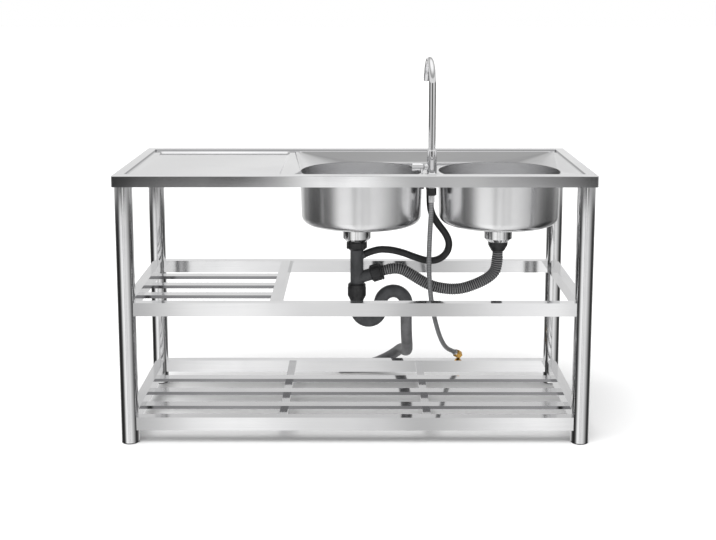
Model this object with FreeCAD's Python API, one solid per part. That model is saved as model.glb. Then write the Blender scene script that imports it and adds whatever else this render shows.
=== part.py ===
import FreeCAD
import Part
import math
import os

V = FreeCAD.Vector

# A free-standing stainless sink unit: pressed top with a drainboard and two round bowls, on four
# tube legs with a half-length middle shelf and a full bottom shelf, with its tap and waste pipes.
# X runs along the unit, Y from the front to the back, Z up. The origin is on the floor, under the
# middle of the top.

# ---- driving sizes, in millimetres ----
top_length = 1400.0
top_depth = 600.0
top_height = 810.0
apron_height = 34.0
apron_hem = 8.0
sheet = 1.2
top_edge_radius = 3.0

rim_width = 30.0
rim_step = 6.0
rim_slope = 4.0
corner_radius = 6.0
drainer_gap = 31.0
drainer_margin = 13.0
drainer_drop = 4.0
drainer_slope = 6.0
drainer_corner = 16.0
bowl_drop = 22.0
field_margin = 4.0
field_corner = 10.0
bowl_margin = 1.0

bowl_radius = 188.0
bowl_depth = 160.0
bowl_draft = 3.0
bowl_fillet = 24.0
bowl_lip = 6.0
bowl_gap = 52.0
bowl_side_margin = 65.0
bowls_centre_y = -20.0
bowl_floor_fall = 3.0
bowl_seat_margin = 22.0

leg_diameter = 52.0
tube_wall = 1.2
leg_gap = 0.3
foot_flange = 3.0
foot_chamfer = 1.0
foot_plug_height = 24.0
foot_plug_wall = 3.0
spigot_height = 46.0
spigot_flange = 2.5
spigot_wall = 3.0
corner_plate_side = 80.0
corner_plate_thickness = 2.5
corner_plate_drop = 22.0
leg_bolt_radius = 4.0
leg_bolt_flats = 13.0
leg_bolt_head = 5.0
leg_bolt_nut = 3.0

rail_width = 30.0
rail_height = 40.0
rail_wall = 1.2
middle_rail_bottom = 390.0
bottom_rail_bottom = 40.0
slat_width = 38.0
slat_thickness = 10.0
slat_wall = 1.0
middle_slat_pitch = 121.0
bottom_slat_pitch = 127.0
slat_count = 3
cross_rail_setback = 36.0
brace_width = 24.0
brace_spacing = 440.0
brace_thickness = 9.0

stiffener_width = 50.0
stiffener_height = 18.0
stiffener_flange = 12.0
stiffener_spacing = 260.0

left_drain_offset = -14.0
drain_flange_radius = 56.0
drain_flange_thickness = 1.5
drain_hole_clearance = 0.6
cup_radius = 43.5
cup_foot_radius = 32.0
cup_depth = 60.0
cup_taper = 11.0
cup_wall = 1.2
gasket_radius = 58.0
gasket_height = 3.0
lock_ring_radius = 57.0
lock_ring_height = 9.0
lock_ring_notches = 8
lock_ring_notch_radius = 5.0
outlet_radius = 24.0
outlet_wall = 2.0
outlet_length = 18.0
basket_clearance = 1.0
basket_depth = 34.0
basket_wall = 0.8
basket_rim = 49.0
basket_bevel = 4.0
knob_radius = 9.0
knob_stem = 3.0
knob_height = 16.0
knob_rise = 8.0
knob_round = 4.0
slots_in_basket = 12
slot_width = 4.0
slot_margin = 7.0

pipe_radius = 20.5
pipe_wall = 2.2
pipe_washer = 2.0
tee_flange = 3.0
wing_nut_radius = 32.0
wing_nut_lip = 4.0
wing_reach = 38.0
wing_width = 9.0
wing_count = 4
wing_turn = 35.0
nut_bevel = 3.0
tee_length = 143.0
branch_drop = 100.0
branch_angle = 17.0
branch_radius = 19.0
branch_nut_radius = 25.0
branch_nut_start = 46.0
branch_nut_length = 38.0
branch_nut_thread = 14.0
branch_nut_collar = 8.0
branch_nut_step = 3.0
branch_lug_count = 6
branch_lug_radius = 3.5
spigot_drop = 33.0
spigot_angle = 24.0
spigot_reach = 44.0
spigot_root_length = 6.0
spigot_root_wall = 3.0
spigot_wall_thickness = 2.0
trap_nut_radius = 29.0
trap_nut_grip = 27.0
trap_nut_height = 54.0
trap_nut_chamfer = 8.0
trap_nut_collar = 12.0
trap_nut_groove = 1.0
trap_nut_flutes = 12
trap_flute_radius = 3.2
trap_flute_depth = 1.2
u_bend_radius = 37.0
arch_radius = 41.0
trap_inlet = 57.0
arch_lift = 18.0
arch_tail = 6.0
trap_socket_radius = 22.5
trap_socket_length = 35.0
trap_socket_depth = 27.0
cone_nut_radius = 31.0
cone_nut_neck = 20.0
cone_nut_band = 12.0
cone_nut_cone = 18.0
cone_nut_taper = 1.0

tap_y = -96.0
tap_body_radius = 15.0
tap_body_height = 75.0
tap_base_radius = 22.0
tap_base_height = 4.0
tap_bore = 6.0
tap_edge = 1.5
tap_hole_clearance = 1.0
riser_radius = 10.8
riser_wall = 1.2
spout_ring_step = 1.4
spout_ring_height = 3.0
spout_arch_radius = 68.0
spout_arch_angle = 160.0
spout_rise = 355.0
spout_turn = 4.5
spout_tip_radius = 8.0
aerator_radius = 8.8
aerator_length = 26.0
aerator_edge = 1.0
aerator_band = 7.0
aerator_band_step = 0.5
aerator_mesh_depth = 2.0
aerator_mesh_height = 3.0
aerator_mesh_bore = 1.0
aerator_wall = 2.0
swivel_clearance = 0.05
swivel_depth = 18.0
swivel_radius = 9.0
handle_axis_height = 23.5
handle_radius = 13.0
handle_length = 36.0
boss_radius = 10.0
boss_length = 8.0
handle_clearance = 0.5
handle_edge = 1.5
lever_radius = 3.2
lever_length = 34.0
lever_droop = 28.0
lever_inset = 3.0
lever_ball = 0.6
cartridge_radius = 8.0
cartridge_gap = 1.0
cartridge_collar = 1.5
cartridge_stem = 4.0
cartridge_stem_length = 14.0
cartridge_port = 3.0
cartridge_port_depth = 6.0
shank_radius = 10.0
shank_length = 50.0
lock_nut_flats = 32.0
lock_nut_height = 8.0
washer_radius = 20.0
washer_height = 3.0
hose_nut_flats = 26.0
hose_nut_height = 22.0
hose_nut_grip = 8.0
ferrule_radius = 9.2
ferrule_length = 22.0
end_ferrule_length = 14.0
end_nut_flats = 24.0
end_nut_length = 22.0
end_nut_tilt = 30.0
end_nut_offset = 124.0
end_nut_heading = 53.13
end_nut_lip = 6.0
end_nut_overhang = 4.0

cross_hose_radius = 18.0
cross_hose_root = 16.2
cross_hose_bore = 14.5
cross_hose_rib_pitch = 7.0
cross_hose_straight = 36.0
cross_hose_first_bend = 60.0
cross_hose_dip = -32.0
cross_hose_sag = 110.0
cross_hose_rise = 30.0
cross_hose_last_bend = 60.0
cross_hose_grip = 10.0
cross_hose_plain_end = 28.0
rib_flank = 0.2
rib_crest = 0.4
bore_spans = 24
overflow_hose_radius = 11.0
overflow_hose_bore = 9.0
overflow_port_drop = 40.0
overflow_port_radius = 12.0
overflow_flange_radius = 18.0
overflow_elbow_reach = 24.0
overflow_elbow_drop = 30.0
overflow_cover = 1.5
overflow_cover_depth = 10.0
overflow_cover_inset = 8.0
overflow_slots = 3
overflow_slot_pitch = 7.0
overflow_slot_width = 3.0
overflow_slot_length = 18.0
overflow_pad = 5.0
overflow_neck = 18.0
hose_fit = 0.1
supply_hose_radius = 7.5
supply_hose_bore = 4.5
drain_hose_radius = 18.0
drain_hose_bore = 15.5
hose_cuff_radius = 20.5
hose_cuff_length = 30.0
hose_cuff_overhang = 6.0

# ---- values worked out from the sizes above ----
half_length = top_length / 2
half_depth = top_depth / 2
floor_of_rim = top_height - rim_step
floor_of_drainer = floor_of_rim - drainer_drop
land = floor_of_rim - bowl_drop
leg_radius = leg_diameter / 2
leg_x = half_length - 2 * sheet - leg_gap - leg_radius
leg_y = half_depth - 2 * sheet - leg_gap - leg_radius
right_bowl_x = half_length - bowl_side_margin - bowl_radius
left_bowl_x = right_bowl_x - 2 * bowl_radius - bowl_gap
bowl_xs = {"left": left_bowl_x, "right": right_bowl_x}
bowls_centre_x = (left_bowl_x + right_bowl_x) / 2
drainer_right = left_bowl_x - bowl_radius - drainer_gap
cross_rail_x = drainer_right - cross_rail_setback
bowl_floor = land - bowl_depth
drain_x = left_bowl_x + left_drain_offset
drain_xs = {"left": drain_x, "right": right_bowl_x}
drain_seat = bowl_floor - bowl_floor_fall
cup_bottom = drain_seat - cup_depth
outlet_end = cup_bottom - outlet_length
tee_top = outlet_end - pipe_washer
tee_bottom = tee_top - tee_length
branch_axis_z = tee_top - branch_drop
spigot_axis_z = tee_top - spigot_drop
trap_nut_top = tee_bottom + trap_nut_grip
u_bend_centre_z = tee_bottom - trap_inlet
arch_centre_z = u_bend_centre_z + arch_lift
trap_outlet_z = arch_centre_z - trap_socket_length
skin = 0.01


def save(name, shape):
    if shape.ShapeType == "Compound" and len(shape.Solids) == 1:
        shape = shape.Solids[0]
    shape.exportStep("parts/" + name + ".step")
    made[name] = shape


def block(x0, x1, y0, y1, z0, z1):
    return Part.makeBox(x1 - x0, y1 - y0, z1 - z0, V(x0, y0, z0))


def rod(radius, start, end):
    axis = end - start
    return Part.makeCylinder(radius, axis.Length, start, axis)


def group(shapes):
    return Part.makeCompound(shapes)


def turned(points, centre, axis=V(0, 0, 1)):
    """A solid of revolution: points are (radius, height) about an axis through the centre."""
    corners = [V(r, 0, z) for r, z in points]
    face = Part.Face(Part.makePolygon(corners + corners[:1]))
    solid = face.revolve(V(0, 0, 0), V(0, 0, 1), 360)
    if axis.x or axis.y or axis.z < 0:
        solid.Placement = FreeCAD.Placement(V(0, 0, 0), FreeCAD.Rotation(V(0, 0, 1), axis))
    solid.translate(centre)
    return solid


def hexagon(flats, centre, axis, height):
    """A hexagonal prism, flats wide. Where it lies on its side, two of its flats face up and down."""
    corner = flats / 2 / math.cos(math.radians(30))
    points = [V(corner * math.cos(math.radians(60 * i)), corner * math.sin(math.radians(60 * i)), 0)
              for i in range(7)]
    prism = Part.Face(Part.makePolygon(points)).extrude(V(0, 0, height))
    sideways = V(0, 0, 1).cross(axis)
    if sideways.Length < 0.01:
        sideways = V(1, 0, 0)
    turn = FreeCAD.Rotation(sideways, axis.cross(sideways), axis, "ZXY")
    prism.Placement = FreeCAD.Placement(centre, turn)
    return prism


def rounded_wire(x0, x1, y0, y1, radius, z):
    """A rectangle with round corners, always four lines and four arcs in the same order."""
    turn = radius * (1 - math.sqrt(0.5))
    corners = [(x1, y0, -1, 1), (x1, y1, -1, -1), (x0, y1, 1, -1), (x0, y0, 1, 1)]
    edges = []
    for i, (x, y, sx, sy) in enumerate(corners):
        along_x = V(x + sx * radius, y, z)
        along_y = V(x, y + sy * radius, z)
        middle = V(x + sx * turn, y + sy * turn, z)
        first, last = (along_x, along_y) if i % 2 == 0 else (along_y, along_x)
        edges.append((first, middle, last))
    wire = []
    for i, (first, middle, last) in enumerate(edges):
        wire.append(Part.Arc(first, middle, last).toShape())
        wire.append(Part.makeLine(last, edges[(i + 1) % 4][0]))
    return Part.Wire(wire)


def pan(upper, lower):
    return Part.makeLoft([upper, lower], True, True)


def square_tube(length_box, wall, axis):
    """A rectangular tube: the box less its bore, which is open at both ends along the axis."""
    b = length_box.BoundBox
    grow = {"x": (1, 0), "y": (0, 1)}[axis]
    bore = block(
        b.XMin + (wall if not grow[0] else -1), b.XMax - (wall if not grow[0] else -1),
        b.YMin + (wall if not grow[1] else -1), b.YMax - (wall if not grow[1] else -1),
        b.ZMin + wall, b.ZMax - wall,
    )
    return length_box.cut(bore)


def arc_path(points):
    """Straight runs joined by tangent arcs, and the arcs' radii."""
    edges = []
    radii = []
    start = points[0]
    for before, corner, after in zip(points, points[1:], points[2:]):
        one = corner - before
        two = after - corner
        turn = one.getAngle(two)
        shorter = min(one.Length, two.Length)
        radius = 0.45 * shorter / math.tan(turn / 2)
        radii.append(radius)
        reach = 0.45 * shorter
        enter = corner - one.normalize() * reach
        leave = corner + two.normalize() * reach
        inward = (two - one).normalize()
        middle = corner + inward * (radius / math.cos(turn / 2) - radius)
        edges.append(Part.makeLine(start, enter))
        edges.append(Part.Arc(enter, middle, leave).toShape())
        start = leave
    edges.append(Part.makeLine(start, points[-1]))
    return Part.Wire(edges), radii


def swept(wire, radius, start, direction):
    circle = Part.Wire(Part.makeCircle(radius, start, direction))
    return wire.makePipeShell([circle], True, False)


def hose(name, points, radius, bore):
    wire, radii = arc_path(points)
    direction = points[1] - points[0]
    solid = swept(wire, radius, points[0], direction).cut(swept(wire, bore, points[0], direction))
    section = math.pi * (radius ** 2 - bore ** 2)
    print("%s: length %.0f, volume over section times length %.4f, arc radii %s" % (
        name, wire.Length, solid.Volume / (section * wire.Length), [round(r) for r in radii]))
    return solid


made = {}
os.makedirs("parts", exist_ok=True)


# ---- the pressed top ----
def deck():
    top = top_height
    outer = block(-half_length, half_length, -half_depth, half_depth, top - apron_height, top)
    edges = [e for e in outer.Edges if abs(e.BoundBox.ZMin - top) < 0.01 or e.BoundBox.ZLength > 1]
    outer = outer.makeFillet(top_edge_radius, edges)
    hem = 2 * sheet
    hollow = block(-half_length + sheet, half_length - sheet, -half_depth + sheet, half_depth - sheet,
                   top - apron_height + apron_hem, top - sheet)
    mouth = block(-half_length + hem, half_length - hem, -half_depth + hem, half_depth - hem,
                  top - apron_height - 1, top - apron_height + apron_hem)
    shell = outer.cut(hollow).cut(mouth)
    hole = shank_radius + tap_hole_clearance
    deep = V(0, 0, bowl_drop)

    inner_x = half_length - rim_width
    inner_y = half_depth - rim_width
    below = floor_of_rim
    floor_x = inner_x - rim_slope
    floor_y = inner_y - rim_slope
    flat = bowl_radius + bowl_margin
    drainer = (-floor_x + drainer_margin, drainer_right - drainer_margin - rim_slope,
               -floor_y + drainer_margin, floor_y - drainer_margin)

    def recess(grow, drop):
        """The pressed hollow: grow widens it and drop lowers it, for the underside of the sheet."""
        step = pan(
            rounded_wire(-inner_x - grow, inner_x + grow, -inner_y - grow, inner_y + grow,
                         corner_radius + grow, top),
            rounded_wire(-floor_x - grow, floor_x + grow, -floor_y - grow, floor_y + grow,
                         corner_radius + grow, below - drop))
        tray = pan(
            rounded_wire(drainer[0] - grow, drainer[1] + grow, drainer[2] - grow, drainer[3] + grow,
                         drainer_corner + grow, below - drop + skin),
            rounded_wire(drainer[0] + drainer_slope - grow, drainer[1] - drainer_slope + grow,
                         drainer[2] + drainer_slope - grow, drainer[3] - drainer_slope + grow,
                         drainer_corner - drainer_slope + grow, floor_of_drainer - drop))
        funnel = pan(
            rounded_wire(drainer_right - grow, floor_x - field_margin + grow,
                         -floor_y + field_margin - grow, floor_y - field_margin + grow,
                         field_corner + grow, below - drop + skin),
            rounded_wire(bowl_xs["left"] - flat - grow, bowl_xs["right"] + flat + grow,
                         bowls_centre_y - flat - grow, bowls_centre_y + flat + grow,
                         bowl_radius + grow, land - drop))
        return step.fuse([tray, funnel])

    under = recess(sheet, sheet)
    press = recess(0.0, 0.0)
    sunk = shell.fuse(under).cut(press)
    for x in bowl_xs.values():
        middle = V(x, bowls_centre_y, land)
        sunk = sunk.cut(rod(bowl_radius, middle - deep, middle + deep))
    middle = V(bowls_centre_x, tap_y, land)
    return sunk.cut(rod(hole, middle - deep, middle + deep))


save("deck", deck())

# ---- the two bowls, each drawn in one piece with a lip under the deck ----
bowl_top = land - sheet


def bowl_form(centre_x, grow):
    """The inside of a bowl, or its outside when it grows by the thickness of the sheet."""
    wide = bowl_radius + grow
    low = bowl_radius - bowl_draft + grow
    fillet = bowl_fillet + grow
    base = bowl_floor - grow
    flat = drain_flange_radius + bowl_seat_margin
    mid_x = low - fillet + fillet * math.sqrt(0.5)
    mid_z = base + fillet - fillet * math.sqrt(0.5)
    corners = [V(low - fillet, 0, base), V(flat, 0, base - bowl_floor_fall), V(0, 0, base - bowl_floor_fall),
               V(0, 0, bowl_top), V(wide, 0, bowl_top), V(low, 0, base + fillet)]
    edges = [Part.makeLine(a, b) for a, b in zip(corners, corners[1:])]
    edges.append(Part.Arc(corners[-1], V(mid_x, 0, mid_z), corners[0]).toShape())
    solid = Part.Face(Part.Wire(edges)).revolve(V(0, 0, 0), V(0, 0, 1), 360)
    solid.translate(V(centre_x, bowls_centre_y, 0))
    return solid


def ring(outer, inner, centre, height):
    tall = V(0, 0, height)
    return rod(outer, centre, centre + tall).cut(rod(inner, centre - tall, centre + tall * 2))


for side, x in bowl_xs.items():
    lip = ring(bowl_radius + bowl_lip, bowl_radius - 1, V(x, bowls_centre_y, bowl_top - sheet), sheet)
    body = bowl_form(x, sheet).fuse(lip).cut(bowl_form(x, 0.0))
    body = body.cut(ring(bowl_radius, 0, V(x, bowls_centre_y, bowl_top - sheet), sheet))
    drain = V(drain_xs[side], bowls_centre_y, bowl_floor - 3 * bowl_floor_fall)
    body = body.cut(rod(cup_radius + drain_hole_clearance, drain, drain + V(0, 0, 4 * bowl_floor_fall)))
    save("bowl_" + side, body)


# ---- legs, each a tube on a plastic foot, held by a spigot bolted to a plate in the top's corner ----
plate_under = top_height - corner_plate_drop
leg_top = plate_under - spigot_flange
leg_inner = leg_radius - tube_wall
corners = {"front_left": (-1, -1), "front_right": (1, -1), "back_left": (-1, 1), "back_right": (1, 1)}
feet = []
spigots = []
plates = []
bolts = []
for corner, (sx, sy) in corners.items():
    x = sx * leg_x
    y = sy * leg_y
    tube = rod(leg_radius, V(x, y, foot_flange), V(x, y, leg_top))
    save("leg_" + corner, tube.cut(rod(leg_inner, V(x, y, 0), V(x, y, leg_top + 1))))
    plug_inner = leg_inner - foot_plug_wall
    foot = turned([(0, 0), (leg_radius - foot_chamfer, 0), (leg_radius, foot_chamfer),
                   (leg_radius, foot_flange), (leg_inner, foot_flange),
                   (leg_inner, foot_flange + foot_plug_height),
                   (plug_inner, foot_flange + foot_plug_height), (plug_inner, foot_flange + foot_plug_wall),
                   (0, foot_flange + foot_plug_wall)], V(x, y, 0))
    feet.append(foot)
    spigot = turned([(leg_bolt_radius, leg_top + spigot_flange), (leg_radius, leg_top + spigot_flange),
                     (leg_radius, leg_top), (leg_inner, leg_top), (leg_inner, leg_top - spigot_height),
                     (leg_inner - spigot_wall, leg_top - spigot_height),
                     (leg_inner - spigot_wall, leg_top - spigot_wall),
                     (leg_bolt_radius, leg_top - spigot_wall)], V(x, y, 0))
    spigots.append(spigot)
    inner_x = half_length - sheet
    inner_y = half_depth - sheet
    far_x = inner_x - corner_plate_side
    far_y = inner_y - corner_plate_side
    plate = block(min(sx * inner_x, sx * far_x), max(sx * inner_x, sx * far_x),
                  min(sy * inner_y, sy * far_y), max(sy * inner_y, sy * far_y),
                  plate_under, plate_under + corner_plate_thickness)
    under_head = V(x, y, leg_top - spigot_wall)
    plate_top = V(x, y, plate_under + corner_plate_thickness)
    plate = plate.cut(rod(leg_bolt_radius, under_head, plate_top + V(0, 0, corner_plate_thickness)))
    plates.append(plate)
    shank = rod(leg_bolt_radius, under_head, plate_top)
    head = hexagon(leg_bolt_flats, under_head, V(0, 0, -1), leg_bolt_head)
    nut = hexagon(leg_bolt_flats, plate_top, V(0, 0, 1), leg_bolt_nut)
    bolts.append(shank.fuse([head, nut]))
save("feet", group(feet))
save("leg_spigots", group(spigots))
save("corner_plates", group(plates))
save("leg_bolts", group(bolts))

# ---- the two shelves: rectangular tube rails coped to the legs, and flat slats between them ----
half_rail = rail_width / 2
inside_x = leg_x - half_rail
inside_y = leg_y - half_rail


def coped(rail, z):
    for sx, sy in corners.values():
        post = V(sx * leg_x, sy * leg_y, z - 1)
        rail = rail.cut(rod(leg_radius, post, post + V(0, 0, rail_height + 2)))
    return rail


for shelf, z in {"middle": middle_rail_bottom, "bottom": bottom_rail_bottom}.items():
    for side, sign in {"front": -1, "back": 1}.items():
        y = sign * leg_y
        bar = block(-leg_x, leg_x, y - half_rail, y + half_rail, z, z + rail_height)
        save("%s_rail_%s" % (shelf, side), coped(square_tube(bar, rail_wall, "x"), z))
    for side, sign in {"left": -1, "right": 1}.items():
        x = sign * leg_x
        bar = block(x - half_rail, x + half_rail, -leg_y, leg_y, z, z + rail_height)
        save("%s_rail_%s" % (shelf, side), coped(square_tube(bar, rail_wall, "y"), z))

bar = block(cross_rail_x - half_rail, cross_rail_x + half_rail, -inside_y, inside_y,
            middle_rail_bottom, middle_rail_bottom + rail_height)
save("middle_cross_rail", square_tube(bar, rail_wall, "y"))


def slat(x0, x1, y, rail_bottom):
    middle = rail_bottom + rail_height / 2
    bar = block(x0, x1, y - slat_width / 2, y + slat_width / 2,
                middle - slat_thickness / 2, middle + slat_thickness / 2)
    return square_tube(bar, slat_wall, "x")


for i in range(slat_count):
    place = i - (slat_count - 1) / 2
    left_end = cross_rail_x - half_rail
    middle_slat = slat(-inside_x, left_end, place * middle_slat_pitch, middle_rail_bottom)
    bottom_slat = slat(-inside_x, inside_x, place * bottom_slat_pitch, bottom_rail_bottom)
    save("middle_slat_%d" % (i + 1), middle_slat)
    save("bottom_slat_%d" % (i + 1), bottom_slat)

brace_top = bottom_rail_bottom + rail_height / 2 - slat_thickness / 2
braces = []
for sign in (-1, 1):
    x = sign * brace_spacing / 2
    bar = block(x - brace_width / 2, x + brace_width / 2, -inside_y, inside_y,
                brace_top - brace_thickness, brace_top)
    braces.append(square_tube(bar, slat_wall, "y"))
save("bottom_braces", group(braces))

# ---- folded channels spot-welded under the drainboard ----
channel_top = floor_of_drainer - sheet
channel_reach = half_depth - rim_width - rim_slope - drainer_margin - 8
middle_of_drainer = (-half_length + rim_width + drainer_right) / 2
channels = []
for sign in (-1, 1):
    x = middle_of_drainer + sign * stiffener_spacing / 2
    half = stiffener_width / 2
    hat = block(x - half - stiffener_flange, x + half + stiffener_flange, -channel_reach, channel_reach,
                channel_top - sheet, channel_top)
    hat = hat.fuse(block(x - half, x + half, -channel_reach, channel_reach,
                         channel_top - stiffener_height, channel_top))
    hat = hat.cut(block(x - half + sheet, x + half - sheet, -channel_reach - 1, channel_reach + 1,
                        channel_top - stiffener_height + sheet, channel_top + 1))
    channels.append(hat)
save("drainboard_channels", group(channels))

# ---- the wastes: a strainer cup through each bowl's floor, its gasket, lock ring and basket ----
gaskets = []
lock_rings = []
for side, x in drain_xs.items():
    at = V(x, bowls_centre_y, 0)
    seat = drain_seat
    inner = cup_radius - cup_wall
    cup = turned([
        (inner, seat + drain_flange_thickness), (drain_flange_radius, seat + drain_flange_thickness),
        (drain_flange_radius, seat), (cup_radius, seat), (cup_radius, cup_bottom + cup_taper),
        (cup_foot_radius, cup_bottom), (outlet_radius, cup_bottom), (outlet_radius, outlet_end),
        (outlet_radius - outlet_wall, outlet_end), (outlet_radius - outlet_wall, cup_bottom + cup_wall),
        (cup_foot_radius - cup_wall / 2, cup_bottom + cup_wall),
        (inner, cup_bottom + cup_taper + cup_wall / 2),
    ], at)
    save("strainer_cup_" + side, cup)
    under = seat - sheet
    gaskets.append(ring(gasket_radius, cup_radius, at + V(0, 0, under - gasket_height), gasket_height))
    lock = ring(lock_ring_radius, cup_radius, at + V(0, 0, under - gasket_height - lock_ring_height),
                lock_ring_height)
    for i in range(lock_ring_notches):
        turn = 2 * math.pi / lock_ring_notches * i
        notch = at + V(math.cos(turn), math.sin(turn), 0) * lock_ring_radius
        notch.z = under - gasket_height
        lock = lock.cut(rod(lock_ring_notch_radius, notch, notch - V(0, 0, lock_ring_height)))
    lock_rings.append(lock)
    rim_z = seat + drain_flange_thickness
    wide = inner - basket_clearance
    low = rim_z - basket_depth
    hollow = wide - basket_wall
    bevel = basket_bevel + basket_wall / 2
    basket = turned([
        (0, low), (wide - basket_bevel, low), (wide, low + basket_bevel), (wide, rim_z), (basket_rim, rim_z),
        (basket_rim, rim_z + basket_wall), (hollow, rim_z + basket_wall), (hollow, low + bevel),
        (wide - bevel, low + basket_wall), (0, low + basket_wall),
    ], at)
    for i in range(slots_in_basket):
        turn = FreeCAD.Rotation(V(0, 0, 1), 360.0 / slots_in_basket * i)
        slot = block(wide - basket_bevel, basket_rim, -slot_width / 2, slot_width / 2,
                     low + slot_margin, rim_z - slot_margin)
        slot.Placement = FreeCAD.Placement(at, turn).multiply(slot.Placement)
        basket = basket.cut(slot)
    knob_top = rim_z + knob_rise
    knob_low = knob_top - knob_height
    knob = turned([(0, low), (knob_stem, low), (knob_stem, knob_low), (knob_radius, knob_low + knob_round),
                   (knob_radius, knob_top - knob_round), (knob_radius - knob_round, knob_top),
                   (0, knob_top)], at)
    save("strainer_basket_" + side, basket.fuse(knob))

save("waste_gaskets", group(gaskets))
save("waste_lock_rings", group(lock_rings))

# ---- the left waste pipe: washer, winged nut, tee, trap nut and the S trap ----
tee_at = V(drain_x, bowls_centre_y, 0)
washer_at = tee_at + V(0, 0, tee_top)
save("outlet_washer_left", ring(outlet_radius, outlet_radius - outlet_wall, washer_at, pipe_washer))
nut_bottom = tee_top - tee_flange - wing_nut_lip
wing_nut = turned([
    (outlet_radius, cup_bottom), (wing_nut_radius - nut_bevel, cup_bottom),
    (wing_nut_radius, cup_bottom - nut_bevel),
    (wing_nut_radius, tee_top), (pipe_radius + wing_nut_lip, nut_bottom), (pipe_radius, nut_bottom),
    (pipe_radius, tee_top - tee_flange), (outlet_radius, tee_top - tee_flange)], tee_at)
wing_top = V(0, 0, cup_bottom - nut_bevel)
wing_low = V(0, 0, tee_top)
for i in range(wing_count):
    angle = math.radians(360.0 / wing_count * i + wing_turn)
    out = tee_at + V(math.cos(angle), math.sin(angle), 0) * (wing_reach - wing_width / 2)
    root = tee_at + V(math.cos(angle), math.sin(angle), 0) * (wing_nut_radius - nut_bevel)
    wing_nut = wing_nut.fuse([rod(wing_width / 2, root + wing_low, root + wing_top),
                              rod(wing_width / 2, out + wing_low, out + wing_top)])
save("wing_nut", wing_nut)

branch_out = V(math.cos(math.radians(branch_angle)), 0, math.sin(math.radians(branch_angle)))
spigot_out = V(math.cos(math.radians(spigot_angle)), 0, math.sin(math.radians(spigot_angle)))
branch_root = tee_at + V(0, 0, branch_axis_z)
spigot_root = tee_at + V(0, 0, spigot_axis_z)
branch_end = branch_root + branch_out * (branch_nut_start + branch_nut_length - branch_nut_thread)
spigot_base = spigot_root + spigot_out * (pipe_radius + spigot_root_length)
bore = pipe_radius - pipe_wall
tee = rod(pipe_radius, tee_at + V(0, 0, tee_bottom), tee_at + V(0, 0, tee_top))
tee = tee.fuse([
    rod(outlet_radius, tee_at + V(0, 0, tee_top - tee_flange), tee_at + V(0, 0, tee_top)),
    rod(branch_radius, branch_root, branch_end),
    rod(overflow_hose_bore + spigot_root_wall, spigot_root, spigot_base),
    rod(overflow_hose_bore - hose_fit, spigot_root, spigot_root + spigot_out * spigot_reach),
])
tee = tee.cut(rod(bore, tee_at + V(0, 0, tee_bottom - 1), tee_at + V(0, 0, tee_top + 1)))
tee = tee.cut(rod(branch_radius - pipe_wall, branch_root, branch_end + branch_out))
channel = overflow_hose_bore - spigot_wall_thickness
tee = tee.cut(rod(channel, spigot_root, spigot_root + spigot_out * (spigot_reach + 1)))
save("waste_tee", tee)

# the nut on the tee's branch, which holds the corrugated hose's end
nut_at = branch_root + branch_out * branch_nut_start
collar_at = branch_nut_length - branch_nut_collar
thread_end = branch_nut_length - branch_nut_thread
collar = branch_nut_radius + branch_nut_step
branch_nut = turned([
    (branch_radius, 0), (branch_nut_radius - nut_bevel, 0), (branch_nut_radius, nut_bevel),
    (branch_nut_radius, collar_at), (collar, collar_at + nut_bevel), (collar, branch_nut_length - nut_bevel),
    (branch_nut_radius, branch_nut_length), (cross_hose_root, branch_nut_length),
    (cross_hose_root, thread_end),
    (branch_radius, thread_end)], nut_at, branch_out)
for i in range(branch_lug_count):
    angle = 2 * math.pi / branch_lug_count * (i + 0.5)
    across = V(0, 1, 0) * math.cos(angle) + branch_out.cross(V(0, 1, 0)) * math.sin(angle)
    lug = nut_at + across * (branch_nut_radius + 1 - branch_lug_radius / 2)
    lug_start = lug + branch_out * nut_bevel
    branch_nut = branch_nut.fuse(rod(branch_lug_radius, lug_start, lug + branch_out * collar_at))
branch_nut = branch_nut.cut(rod(branch_radius, nut_at - branch_out, nut_at + branch_out * thread_end))
save("branch_nut", branch_nut)

# the trap nut, fluted for grip
nut_low = trap_nut_top - trap_nut_height
collar = trap_nut_radius - trap_nut_groove
collar_low = trap_nut_top - trap_nut_collar
trap_nut = turned([
    (pipe_radius, trap_nut_top), (collar - nut_bevel, trap_nut_top), (collar, trap_nut_top - nut_bevel),
    (collar, collar_low), (trap_nut_radius, collar_low - trap_nut_groove),
    (trap_nut_radius, nut_low + 2 * trap_nut_chamfer), (trap_nut_radius - trap_nut_chamfer, nut_low),
    (pipe_radius, nut_low)], tee_at)
flute_out = trap_nut_radius + trap_flute_radius - trap_flute_depth
for i in range(trap_nut_flutes):
    angle = 2 * math.pi / trap_nut_flutes * i
    groove = tee_at + V(math.cos(angle), math.sin(angle), 0) * flute_out
    trap_nut = trap_nut.cut(rod(trap_flute_radius, groove + V(0, 0, nut_low + 2 * trap_nut_chamfer),
                                groove + V(0, 0, collar_low - nut_bevel)))
save("trap_nut", trap_nut)

# the S trap: down, round the U bend, over the arch and down to the drain hose
y = bowls_centre_y
riser_x = drain_x + 2 * u_bend_radius
outlet_x = riser_x + 2 * arch_radius
trap_path = Part.Wire([
    Part.makeLine(V(drain_x, y, tee_bottom), V(drain_x, y, u_bend_centre_z)),
    Part.Arc(V(drain_x, y, u_bend_centre_z), V(drain_x + u_bend_radius, y, u_bend_centre_z - u_bend_radius),
             V(riser_x, y, u_bend_centre_z)).toShape(),
    Part.makeLine(V(riser_x, y, u_bend_centre_z), V(riser_x, y, arch_centre_z)),
    Part.Arc(V(riser_x, y, arch_centre_z), V(riser_x + arch_radius, y, arch_centre_z + arch_radius),
             V(outlet_x, y, arch_centre_z)).toShape(),
    Part.makeLine(V(outlet_x, y, arch_centre_z), V(outlet_x, y, arch_centre_z - arch_tail)),
])
start = V(drain_x, y, tee_bottom)
down = V(0, 0, -1)
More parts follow.
